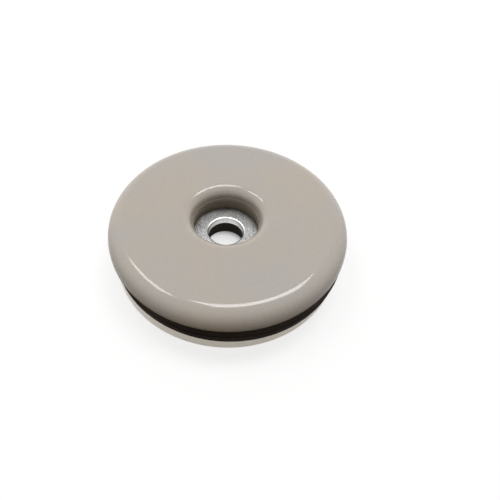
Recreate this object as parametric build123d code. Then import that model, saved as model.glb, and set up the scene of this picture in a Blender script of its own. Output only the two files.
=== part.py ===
from build123d import *
import os

# Screw-on furniture glide: a layered disc that is screwed under a chair or table leg.
# Millimetres. The origin is the centre of the face that lies against the leg, and +Z
# runs through the layers to the sliding face, which is up here.

# Layer heights, from the leg to the floor
BASE_THICKNESS = 3.0
CUSHION_THICKNESS = 4.3
DISC_THICKNESS = 4.7

# Outlines of the layers
DISC_DIAMETER = 50.0
BASE_SETBACK = 0.7          # base plate inside the disc's rim, all round
CUSHION_OVERHANG = 0.15     # cushion outside the base plate, all round

# Sliding disc: the big rounded rim and the hole for the screw's head
RIM_SHOULDER_ROUND = 3.5
RIM_UNDER_CHAMFER = 0.7     # lower edge of the rim
HEAD_HOLE_DIAMETER = 13.6   # at the washer
LIP_ROUND = 2.3             # mouth of the hole
LEDGE_WIDTH = 0.08          # each of two fine ledges that the moulding leaves in the hole
UPPER_LEDGE_DROP = 0.15     # upper ledge below the rounded mouth
LEDGE_SPACING = 1.1         # lower ledge below the upper one
HUB_DROP = 0.6              # the disc's hub reaches this far down into the cushion

# Steel washer that the screw's head pulls on, under the disc's hub
WASHER_THICKNESS = 1.6
WASHER_HOLE_DIAMETER = 7.5
WASHER_SEAT = 2.2           # how far it reaches out under the hub
WASHER_MOUTH_CHAMFER = 0.35 # broken edge round the hole, on the head's side

# Rubber cushion
CUSHION_BORE_CLEARANCE = 0.25   # its bore outside the washer's hole, all round
POCKET_CLEARANCE = 0.1          # its pocket round the washer and the hub
GROOVE_HEIGHT = 0.4             # moulded V groove round the middle of its side
GROOVE_DEPTH = 0.2
NECK_DEPTH = 1.0                # a neck round its bore reaches down into the base plate's hole
NECK_CLEARANCE = 0.15           # between the neck and that hole, all round

# Base plate
BASE_HOLE_DIAMETER = 14.0
BASE_FOOT_CHAMFER = 0.3     # broken outer edge on the leg's side

# Levels and radii that follow from the sizes above
cushion_bottom = BASE_THICKNESS
disc_bottom = cushion_bottom + CUSHION_THICKNESS
disc_top = disc_bottom + DISC_THICKNESS
washer_top = disc_bottom - HUB_DROP
washer_bottom = washer_top - WASHER_THICKNESS
neck_bottom = cushion_bottom - NECK_DEPTH

disc_radius = DISC_DIAMETER / 2
base_radius = disc_radius - BASE_SETBACK
cushion_radius = base_radius + CUSHION_OVERHANG
head_hole_radius = HEAD_HOLE_DIAMETER / 2
washer_hole_radius = WASHER_HOLE_DIAMETER / 2
washer_radius = head_hole_radius + WASHER_SEAT
hub_radius = washer_radius
pocket_radius = washer_radius + POCKET_CLEARANCE
cushion_bore_radius = washer_hole_radius + CUSHION_BORE_CLEARANCE
base_hole_radius = BASE_HOLE_DIAMETER / 2
neck_radius = base_hole_radius - NECK_CLEARANCE


def turned(outline):
    """A solid of revolution about +Z, from a closed outline in radius and height."""
    with BuildPart() as piece:
        with BuildSketch(Plane.XZ):
            add(outline)
            make_face()
        revolve(axis=Axis.Z)
    return piece.part


def sliding_disc():
    """The moulded disc: flat sliding face, full rounded rim, lipped hole and hub."""
    lip_bottom = disc_top - LIP_ROUND
    upper_ledge = lip_bottom - UPPER_LEDGE_DROP
    lower_ledge = upper_ledge - LEDGE_SPACING
    middle_wall = head_hole_radius + LEDGE_WIDTH
    upper_wall = middle_wall + LEDGE_WIDTH
    lip_outside = upper_wall + LIP_ROUND
    shoulder_bottom = disc_top - RIM_SHOULDER_ROUND
    flat_edge = disc_radius - RIM_SHOULDER_ROUND
    under_edge = disc_radius - RIM_UNDER_CHAMFER

    with BuildLine() as outline:
        # Wall of the hole, from the washer up to the rounded mouth
        Polyline(
            (head_hole_radius, washer_top),
            (head_hole_radius, lower_ledge),
            (middle_wall, lower_ledge),
            (middle_wall, upper_ledge),
            (upper_wall, upper_ledge),
            (upper_wall, lip_bottom),
        )
        CenterArc((lip_outside, lip_bottom), LIP_ROUND, 90, 90)
        # Sliding face and the wide shoulder of the rim
        Line((lip_outside, disc_top), (flat_edge, disc_top))
        CenterArc((flat_edge, shoulder_bottom), RIM_SHOULDER_ROUND, 0, 90)
        # Lower edge, underside, and the hub that presses the washer into the cushion
        Polyline(
            (disc_radius, shoulder_bottom),
            (disc_radius, disc_bottom + RIM_UNDER_CHAMFER),
            (under_edge, disc_bottom),
            (hub_radius, disc_bottom),
            (hub_radius, washer_top),
            (head_hole_radius, washer_top),
        )
    return turned(outline.line)


def rubber_cushion():
    """The rubber layer, with a pocket for hub and washer, a bore below them and a neck."""
    groove_middle = (cushion_bottom + disc_bottom) / 2
    with BuildLine() as outline:
        Polyline(
            (cushion_radius, disc_bottom),
            (pocket_radius, disc_bottom),
            (pocket_radius, washer_bottom),
            (cushion_bore_radius, washer_bottom),
            (cushion_bore_radius, neck_bottom),
            (neck_radius, neck_bottom),
            (neck_radius, cushion_bottom),
            (cushion_radius, cushion_bottom),
            (cushion_radius, groove_middle - GROOVE_HEIGHT / 2),
            (cushion_radius - GROOVE_DEPTH, groove_middle),
            (cushion_radius, groove_middle + GROOVE_HEIGHT / 2),
            (cushion_radius, disc_bottom),
        )
    return turned(outline.line)


def washer():
    """The stamped washer, with the edge of its hole broken on the head's side."""
    with BuildLine() as outline:
        Polyline(
            (washer_hole_radius, washer_bottom),
            (washer_radius, washer_bottom),
            (washer_radius, washer_top),
            (washer_hole_radius + WASHER_MOUTH_CHAMFER, washer_top),
            (washer_hole_radius, washer_top - WASHER_MOUTH_CHAMFER),
            (washer_hole_radius, washer_bottom),
        )
    return turned(outline.line)


def base_plate():
    """The thin moulded plate against the leg, open in the middle."""
    with BuildLine() as outline:
        Polyline(
            (base_hole_radius, 0),
            (base_radius - BASE_FOOT_CHAMFER, 0),
            (base_radius, BASE_FOOT_CHAMFER),
            (base_radius, BASE_THICKNESS),
            (base_hole_radius, BASE_THICKNESS),
            (base_hole_radius, 0),
        )
    return turned(outline.line)


os.makedirs("parts", exist_ok=True)
export_step(sliding_disc(), "parts/sliding_disc.step")
export_step(rubber_cushion(), "parts/rubber_cushion.step")
export_step(washer(), "parts/washer.step")
export_step(base_plate(), "parts/base_plate.step")
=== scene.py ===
import math

import bpy
from mathutils import Matrix, Vector


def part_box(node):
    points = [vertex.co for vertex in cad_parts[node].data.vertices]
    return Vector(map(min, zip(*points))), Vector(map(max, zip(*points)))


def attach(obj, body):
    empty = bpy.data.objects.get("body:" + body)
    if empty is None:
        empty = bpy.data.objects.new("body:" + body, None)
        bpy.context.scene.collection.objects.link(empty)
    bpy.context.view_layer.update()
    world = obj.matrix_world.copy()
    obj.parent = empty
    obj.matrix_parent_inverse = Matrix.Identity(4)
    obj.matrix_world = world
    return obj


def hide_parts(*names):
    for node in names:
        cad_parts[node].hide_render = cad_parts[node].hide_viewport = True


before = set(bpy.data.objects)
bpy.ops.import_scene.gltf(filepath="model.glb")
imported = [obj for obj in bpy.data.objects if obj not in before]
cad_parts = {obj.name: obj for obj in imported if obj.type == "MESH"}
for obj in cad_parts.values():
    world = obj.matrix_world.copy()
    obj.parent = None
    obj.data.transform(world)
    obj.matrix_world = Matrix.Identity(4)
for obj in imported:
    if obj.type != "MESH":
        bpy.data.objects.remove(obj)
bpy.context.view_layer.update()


# Base plate
# The thin ring that lies against the furniture leg, moulded in pale taupe plastic. Its outer edge
# is broken on the leg's side, and the neck of the rubber cushion plugs into its wide hole.
mm = 0.001


def rounded(corners):
    """Points of a closed outline with their outward normals, from (radius, height, rounding) corners.

    The corners run clockwise with the axis on the left, so that outward is to their left.
    """
    arc_step = math.radians(6)
    longest_run = 1.0 * mm
    points = []
    for i, (radius, height, rounding) in enumerate(corners):
        here = Vector((radius, height))
        back = (here - Vector(corners[i - 1][:2])).normalized()
        ahead = (Vector(corners[(i + 1) % len(corners)][:2]) - here).normalized()
        outward = Vector((-back.y, back.x))
        turn = math.atan2(back.x * ahead.y - back.y * ahead.x, back.dot(ahead))
        start = here - back * rounding * math.tan(abs(turn) / 2)
        side = math.copysign(1, turn)
        centre = start + side * rounding * outward
        if points:
            # the straight from the last corner, in runs short enough to shade evenly
            last = points[-1][0]
            runs = int((start - last).length / longest_run) + 1
            points += [(last.lerp(start, k / runs), outward) for k in range(1, runs)]
        steps = max(2, round(abs(turn) / arc_step))
        for k in range(steps + 1):
            normal = Matrix.Rotation(turn * k / steps, 2) @ outward
            points.append((centre - side * rounding * normal, normal))
    return points


def turned(name, outline, surface, node):
    """A piece turned about +Z from an outline, with true normals. It stands for a CAD node."""
    steps_round = 480
    count = len(outline)
    verts = []
    normals = []
    faces = []
    for s in range(steps_round):
        angle = 2 * math.pi * s / steps_round
        cosine = math.cos(angle)
        sine = math.sin(angle)
        verts += [(point.x * cosine, point.x * sine, point.y) for point, _ in outline]
        normals += [(normal.x * cosine, normal.x * sine, normal.y) for _, normal in outline]
        here = s * count
        there = (s + 1) % steps_round * count
        for k in range(count):
            after = (k + 1) % count
            faces.append((here + k, here + after, there + after, there + k))
    mesh = bpy.data.meshes.new(name)
    mesh.from_pydata(verts, [], faces)
    mesh.validate()
    mesh.polygons.foreach_set("use_smooth", [True] * len(mesh.polygons))
    mesh.normals_split_custom_set_from_vertices(normals)
    mesh.materials.append(surface)
    piece = bpy.data.objects.new(name, mesh)
    bpy.context.scene.collection.objects.link(piece)
    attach(piece, "root")
    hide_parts(node)
    return piece


class Nodes:
    """Short ways to add nodes to a tree. An input takes a number, a colour or another node's output."""

    def __init__(self, tree):
        self.tree = tree
        self.place = self.add("ShaderNodeTexCoord").outputs["Object"]

    def feed(self, socket, value):
        if isinstance(value, bpy.types.NodeSocket):
            self.tree.links.new(value, socket)
        else:
            socket.default_value = value

    def add(self, kind, inputs=None, **settings):
        made = self.tree.nodes.new(kind)
        for name, value in settings.items():
            setattr(made, name, value)
        for name, value in (inputs or {}).items():
            self.feed(made.inputs[name], value)
        return made

    def noise(self, size, detail, roughness, squeeze=(1, 1, 1)):
        """Noise with lumps of about this size. A squeeze above 1 makes them finer along that axis."""
        place = self.add("ShaderNodeMapping", {"Vector": self.place, "Scale": squeeze}).outputs["Vector"]
        inputs = {"Vector": place, "Scale": 1 / size, "Detail": detail, "Roughness": roughness}
        return self.add("ShaderNodeTexNoise", inputs).outputs["Fac"]

    def ramp(self, value, *stops):
        """A colour or a grey for each value, from (value, colour) stops in rising order."""
        made = self.add("ShaderNodeValToRGB", {"Fac": value})
        elements = made.color_ramp.elements
        while len(elements) < len(stops):
            elements.new(0.5)
        for stop, (at, colour) in zip(elements, stops):
            stop.position = at
            stop.color = (*colour, 1) if isinstance(colour, tuple) else (colour, colour, colour, 1)
        return made.outputs["Color"]

    def blend(self, kind, a, b, share=1.0):
        inputs = {"Factor": share, "A": a, "B": b}
        return self.add("ShaderNodeMix", inputs, data_type="RGBA", blend_type=kind).outputs["Result"]

    def share_between(self, value, low, high):
        """0 at the low value and 1 at the high one."""
        inputs = {"Value": value, "From Min": low, "From Max": high}
        return self.add("ShaderNodeMapRange", inputs).outputs["Result"]

    def measure(self, operation, vector, other):
        return self.add("ShaderNodeVectorMath", {0: vector, 1: other}, operation=operation).outputs["Value"]

    def from_axis(self):
        """Distance from the axis of the middle hole."""
        flat = self.add("ShaderNodeVectorMath", {0: self.place, 1: (1, 1, 0)}, operation="MULTIPLY")
        return self.measure("LENGTH", flat.outputs["Vector"], (0, 0, 0))

    def height(self, vector):
        return self.add("ShaderNodeSeparateXYZ", {0: vector}).outputs["Z"]

    def bump(self, height, strength, depth, over=None):
        made = self.add("ShaderNodeBump", {"Height": height, "Strength": strength, "Distance": depth})
        if over:
            self.feed(made.inputs["Normal"], over)
        return made.outputs["Normal"]


def finish(name):
    """A new material with short ways to add nodes, and the inputs of its shader."""
    material = bpy.data.materials.new(name)
    material.use_nodes = True
    return material, Nodes(material.node_tree), material.node_tree.nodes["Principled BSDF"].inputs


plate_plastic, nodes, shader = finish("plate_plastic")
drift = nodes.ramp(nodes.noise(11 * mm, 3, 0.55),
                   (0.35, (0.95, 0.87, 0.765)), (0.68, (0.93, 0.87, 0.785)))
grain = nodes.ramp(nodes.noise(0.67 * mm, 3, 0.6), (0.3, 0.97), (0.7, 1.0))
nodes.feed(shader["Base Color"], nodes.blend("MULTIPLY", drift, grain))
nodes.feed(shader["Roughness"], nodes.ramp(nodes.noise(3.3 * mm, 3, 0.6), (0.3, 0.285), (0.7, 0.32)))
nodes.feed(shader["Specular IOR Level"], 1.0)
draw_marks = nodes.bump(nodes.noise(20 * mm, 2, 0.5, (1, 1, 40)), 0.03, 0.02 * mm)
nodes.feed(shader["Normal"], nodes.bump(nodes.noise(0.53 * mm, 2, 0.5), 0.02, 0.01 * mm, draw_marks))

plate_low, plate_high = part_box("base_plate")
plate_radius = plate_high.x
plate_bottom = plate_low.z
plate_top = plate_high.z
plate_hole_radius = 7.0 * mm
foot_chamfer = 0.3 * mm
plate_edge = 0.1 * mm

plate_outline = rounded([
    (plate_hole_radius, plate_bottom, plate_edge),
    (plate_hole_radius, plate_top, plate_edge),
    (plate_radius, plate_top, plate_edge),
    (plate_radius, plate_bottom + foot_chamfer, plate_edge),
    (plate_radius - foot_chamfer, plate_bottom, plate_edge),
])
turned("plate", plate_outline, plate_plastic, "base_plate")


# Rubber cushion
# A ring of black rubber, moulded between the plate and the disc and bonded to both. Its side
# bulges a little, stands slightly off centre and has a fine groove round the middle.
black_rubber, nodes, shader = finish("black_rubber")
bloom = nodes.ramp(nodes.noise(6.3 * mm, 4, 0.6),
                   (0.3, (0.0158, 0.0108, 0.0078)), (0.72, (0.0275, 0.0198, 0.0146)))
# only to match the photo, the bore is greyer than the side and the rubber has hardly any gloss
# painted light: the bore's grey stands in for the light that falls into it from below
bore_painted_light = (0.12, 0.117, 0.097, 1)
grey_ends = 5 * mm
black_starts = 6 * mm
outside = nodes.share_between(nodes.from_axis(), grey_ends, black_starts)
nodes.feed(shader["Base Color"], nodes.blend("MIX", bore_painted_light, bloom, outside))
nodes.feed(shader["Roughness"], nodes.ramp(nodes.noise(2 * mm, 3, 0.6), (0.3, 0.42), (0.7, 0.58)))
nodes.feed(shader["Specular IOR Level"], 0.005)
mould_lines = nodes.bump(nodes.noise(17 * mm, 3, 0.6, (1, 1, 60)), 0.35, 0.03 * mm)
nodes.feed(shader["Normal"], nodes.bump(nodes.noise(0.38 * mm, 3, 0.7), 0.3, 0.02 * mm, mould_lines))

cushion_low, cushion_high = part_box("rubber_cushion")
washer_low, washer_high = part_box("washer")
cushion_radius = cushion_high.x
cushion_bottom = plate_top
cushion_top = cushion_high.z
washer_radius = washer_high.x
washer_bottom = washer_low.z
washer_top = washer_high.z
neck_gap = 0.15 * mm
neck_radius = plate_hole_radius - neck_gap
neck_bottom = cushion_low.z
pocket_gap = 0.1 * mm
pocket_radius = washer_radius + pocket_gap
bore_radius = 4.0 * mm
groove_middle = (cushion_bottom + cushion_top) / 2
groove_half_height = 0.2 * mm
groove_depth = 0.2 * mm
bulge = 0.25 * mm
off_centre = 0.25 * mm
cushion_edge = 0.1 * mm
groove_root = 0.06 * mm
sharp = 0.05 * mm

cushion_outline = rounded([
    (pocket_radius, washer_bottom, sharp),
    (pocket_radius, cushion_top, sharp),
    (cushion_radius + bulge, cushion_top, cushion_edge),
    (cushion_radius + bulge, groove_middle + groove_half_height, cushion_edge),
    (cushion_radius + bulge - groove_depth, groove_middle, groove_root),
    (cushion_radius + bulge, groove_middle - groove_half_height, cushion_edge),
    (cushion_radius, cushion_bottom, cushion_edge),
    (neck_radius, cushion_bottom, sharp),
    (neck_radius, neck_bottom, sharp),
    (bore_radius, neck_bottom, sharp),
    (bore_radius, washer_bottom, sharp),
])
cushion = turned("cushion", cushion_outline, black_rubber, "rubber_cushion")
for corner in cushion.data.vertices:
    if corner.co.xy.length > (pocket_radius + cushion_radius) / 2:
        corner.co.x += off_centre


# Washer
# Stamped steel with a dull, grainy zinc plating, pressed between the cushion and the disc's hub.
# The punch has rolled over the edge of its hole and left it bare and smooth.
zinc_steel, nodes, shader = finish("zinc_steel")
washer_hole_radius = 3.75 * mm
mouth_round = 0.28 * mm
washer_edge = 0.1 * mm
plating_starts = washer_hole_radius + mouth_round
plated = nodes.share_between(nodes.from_axis(), plating_starts, plating_starts + mouth_round / 2)
crystals = nodes.ramp(nodes.noise(0.24 * mm, 2, 0.8), (0.42, (0.18, 0.18, 0.176)), (0.58, (0.6, 0.6, 0.59)))
stains = nodes.ramp(nodes.noise(2.4 * mm, 3, 0.6), (0.3, 0.75), (0.7, 1.0))
plating = nodes.blend("MULTIPLY", crystals, stains)
score_marks = nodes.ramp(nodes.noise(1.1 * mm, 3, 0.7, (1, 1, 0.08)), (0.3, 0.72), (0.7, 0.9))
# the edge is darker on its near half only to match the photo
# painted highlight: the far half of the rolled edge is painted bright and the near half dark
far_side = (0.25, 0.97, 0)
across_hole = nodes.measure("DOT_PRODUCT", nodes.place, far_side)
dark_ends = -0.6 * mm
bright_starts = 1.6 * mm
highlight_share = nodes.share_between(across_hole, dark_ends, bright_starts)
mouth_highlight = nodes.ramp(highlight_share, (0.0, 0.2), (1.0, 1.0))
up_the_hole = nodes.height(nodes.place)
at_mouth = nodes.share_between(up_the_hole, washer_top - mouth_round, washer_top - 0.7 * mouth_round)
bare_steel_and_highlight = nodes.blend("MIX", score_marks, mouth_highlight, at_mouth)
nodes.feed(shader["Base Color"], nodes.blend("MIX", bare_steel_and_highlight, plating, plated))
nodes.feed(shader["Roughness"], nodes.ramp(nodes.noise(0.77 * mm, 3, 0.6), (0.3, 0.34), (0.7, 0.46)))
nodes.feed(shader["Metallic"], 1.0)
nodes.feed(shader["Normal"], nodes.bump(nodes.noise(0.34 * mm, 4, 0.7), plated, 0.02 * mm))

washer_outline = rounded([
    (washer_hole_radius, washer_bottom, washer_edge),
    (washer_hole_radius, washer_top, mouth_round),
    (washer_radius, washer_top, washer_edge),
    (washer_radius, washer_bottom, washer_edge),
])
turned("steel_washer", washer_outline, zinc_steel, "washer")


# Sliding disc
# One injection moulding in glossy taupe plastic, with a wide rounded rim and a deep hole in the
# middle. Two fine ledges in the hole mark where the mould's core is stepped.
taupe_plastic, nodes, shader = finish("taupe_plastic")
disc_low, disc_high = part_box("sliding_disc")
disc_radius = disc_high.x
disc_top = disc_high.z
disc_bottom = cushion_top
hub_bottom = disc_low.z
# wide patches of warm and cool tone, partly the plastic's own and partly painted reflections of the room
tone_and_reflections = nodes.ramp(nodes.noise(14 * mm, 3, 0.55),
                    (0.35, (0.54, 0.481, 0.411)), (0.68, (0.506, 0.476, 0.446)))
speckle = nodes.ramp(nodes.noise(0.56 * mm, 2, 0.6), (0.3, 0.955), (0.7, 1.0))
# to match the photo, colour deepens and gloss fades towards the lower edge and down in the hole
up_the_side = nodes.share_between(nodes.height(nodes.place), hub_bottom, disc_top)
# painted shade: the colour darkens towards the lower edge and down in the hole
depth = nodes.ramp(up_the_side, (0.0, (0.33, 0.3, 0.255)), (0.28, (0.525, 0.49, 0.43)),
                   (0.43, (0.655, 0.622, 0.58)), (0.585, (0.765, 0.735, 0.705)), (0.75, (0.89, 0.87, 0.85)),
                   (0.9, 1.0))
plastic_colour_and_reflections = nodes.blend("MULTIPLY", tone_and_reflections, speckle)
nodes.feed(shader["Base Color"], nodes.blend("MULTIPLY", plastic_colour_and_reflections, depth))
nodes.feed(shader["Specular IOR Level"], nodes.ramp(up_the_side, (0.3, 0.0), (0.8, 0.55)))
nodes.feed(shader["Roughness"], nodes.ramp(nodes.noise(4.2 * mm, 3, 0.6), (0.3, 0.07), (0.7, 0.1)))
faint_waves = nodes.bump(nodes.noise(9 * mm, 1, 0.4), 0.1, 0.05 * mm)
nodes.feed(shader["Normal"], nodes.bump(nodes.noise(0.67 * mm, 2, 0.5), 0.06, 0.01 * mm, faint_waves))

head_hole_radius = 6.8 * mm
ledge_width = 0.13 * mm
lip_round = 2.3 * mm
shoulder_round = 3.5 * mm
under_round = 0.8 * mm
hole_foot_round = 0.3 * mm
crisp = 0.03 * mm
upper_ledge_drop = 0.15 * mm
ledge_spacing = 1.1 * mm
upper_ledge = disc_top - lip_round - upper_ledge_drop
lower_ledge = upper_ledge - ledge_spacing
middle_wall = head_hole_radius + ledge_width
upper_wall = middle_wall + ledge_width

disc_outline = rounded([
    (head_hole_radius, hub_bottom, hole_foot_round),
    (head_hole_radius, lower_ledge, crisp),
    (middle_wall, lower_ledge, crisp),
    (middle_wall, upper_ledge, crisp),
    (upper_wall, upper_ledge, crisp),
    (upper_wall, disc_top, lip_round),
    (disc_radius, disc_top, shoulder_round),
    (disc_radius, disc_bottom, under_round),
    (washer_radius, disc_bottom, sharp),
    (washer_radius, hub_bottom, sharp),
])
turned("disc", disc_outline, taupe_plastic, "sliding_disc")


# Table
# A plain white table top, a wide disc. It glows only as the camera sees it, directly or in gloss,
# to look as white as the backdrop. Under the middle hole the glow falls off, to match the photo.
def seen_by_camera(nodes):
    """1 where the camera sees a surface, directly or in gloss, metal or glass, and 0 for other light."""
    path = nodes.add("ShaderNodeLightPath").outputs
    seen = path["Is Camera Ray"]
    for kind in ("Is Glossy Ray", "Is Transmission Ray"):
        both = nodes.add("ShaderNodeMath", {0: seen, 1: path[kind]}, operation="ADD", use_clamp=True)
        seen = both.outputs["Value"]
    return seen


white_table, nodes, shader = finish("white_table")
seen = seen_by_camera(nodes)
unseen_colour = (0.12, 0.11, 0.095, 1)
seen_colour = (0.33, 0.33, 0.33, 1)
nodes.feed(shader["Base Color"], nodes.blend("MIX", unseen_colour, seen_colour, seen))
nodes.feed(shader["Roughness"], 0.9)
nodes.feed(shader["Specular IOR Level"], 0.0)
under_hole = (-0.6 * mm, 0, plate_bottom)
from_hole = nodes.measure("DISTANCE", nodes.place, under_hole)
near_reach = 25 * mm
far_starts = 120 * mm
far_ends = 600 * mm
near_light = nodes.ramp(nodes.share_between(from_hole, 0, near_reach),
                        (0.12, 0.77), (0.178, 0.69), (0.205, 0.48), (0.25, 0.08), (0.9, 0.0), (0.96, 0.737))
far_light = nodes.ramp(nodes.share_between(from_hole, far_starts, far_ends), (0.0, 0.0), (1.0, 0.3))
table_light = nodes.blend("ADD", near_light, far_light)
nodes.feed(shader["Emission Color"], (1, 1, 1, 1))
nodes.feed(shader["Emission Strength"], nodes.blend("MULTIPLY", table_light, seen))

table_radius = 1600 * mm
corners_round = 64
table_corners = []
for k in range(corners_round):
    angle = 2 * math.pi * k / corners_round
    table_corners.append((table_radius * math.cos(angle), table_radius * math.sin(angle), plate_bottom))
table_mesh = bpy.data.meshes.new("table")
table_mesh.from_pydata(table_corners, [], [range(corners_round)])
table_mesh.materials.append(white_table)
table = bpy.data.objects.new("table", table_mesh)
bpy.context.scene.collection.objects.link(table)


# Light
# A white studio room, brighter low down and at the back left, and two long soft lamps high over
# the glide, which draw the two bright arcs on its rim.
studio = bpy.data.worlds.new("studio")
bpy.context.scene.world = studio
studio.use_nodes = True
nodes = Nodes(studio.node_tree)
direction = nodes.add("ShaderNodeTexCoord").outputs["Generated"]
walls = nodes.ramp(nodes.height(direction), (0.0, (2.25, 2.14, 1.97)), (0.25, (0.7, 0.68, 0.64)),
                   (0.45, (0.295, 0.295, 0.295)), (1.0, (0.31, 0.31, 0.31)))
towards_back_left = (-0.07, 0.2, 0)
back_left = nodes.measure("DOT_PRODUCT", direction, towards_back_left)
room = nodes.add("ShaderNodeVectorMath", {0: walls, 1: back_left}, operation="ADD").outputs["Vector"]
backdrop = nodes.blend("MIX", room, (1, 1, 1, 1), seen_by_camera(nodes))
nodes.feed(studio.node_tree.nodes["Background"].inputs["Color"], backdrop)


def strip_lamp(name, one_end, other_end, breadth, brightness):
    """A long soft lamp between two directions as seen from the glide. Brightness 1 is white."""
    distance = 1200 * mm
    ends = [Vector(end).normalized() * distance for end in (one_end, other_end)]
    middle = (ends[0] + ends[1]) / 2
    along = (ends[1] - ends[0]).normalized()
    facing = (middle - middle.dot(along) * along).normalized()
    data = bpy.data.lights.new(name, "AREA")
    data.shape = "RECTANGLE"
    data.size = (ends[1] - ends[0]).length
    data.size_y = breadth
    data.energy = brightness * math.pi * data.size * data.size_y
    lamp = bpy.data.objects.new(name, data)
    axes = Matrix((along, facing.cross(along), facing)).transposed()
    lamp.matrix_world = Matrix.Translation(middle) @ axes.to_4x4()
    bpy.context.scene.collection.objects.link(lamp)


strip_lamp("back_lamp", (-0.09, 0.16, 0.97), (0.42, 0.3, 0.86), 360 * mm, 7.2)
strip_lamp("left_lamp", (-0.325, 0.5, 0.8), (-0.34, 0.13, 0.93), 200 * mm, 6.2)


# Camera
# Above and in front of the glide and close to it, turned a little about its line of sight. Its
# picture is shifted sideways, because the glide stands left of the middle.
elevation = math.radians(51.245)
roll = math.radians(-2.384)
stand_off = 100 * mm
aim_right = 5.654 * mm
aim_up = -0.276 * mm
picture_pixels = 500
focal_pixels = 438.9
left_shift_pixels = 49.6
down_shift_pixels = 0.05

rightward = Vector((1, 0, 0))
upward = Vector((0, math.sin(elevation), math.cos(elevation)))
view = Vector((0, math.cos(elevation), -math.sin(elevation)))
tilted_right = rightward * math.cos(roll) + upward * math.sin(roll)
tilted_up = upward * math.cos(roll) - rightward * math.sin(roll)
lens = bpy.data.cameras.new("camera")
lens.lens = lens.sensor_width * focal_pixels / picture_pixels
lens.shift_x = left_shift_pixels / picture_pixels
lens.shift_y = down_shift_pixels / picture_pixels
lens.clip_start = 5 * mm
lens.clip_end = 10000 * mm
camera = bpy.data.objects.new("camera", lens)
axes = Matrix((tilted_right, tilted_up, -view)).transposed()
standpoint = -rightward * aim_right - upward * aim_up - view * stand_off
camera.matrix_world = Matrix.Translation(standpoint) @ axes.to_4x4()
bpy.context.scene.collection.objects.link(camera)
bpy.context.scene.camera = camera
bpy.context.scene.view_settings.view_transform = "Standard"
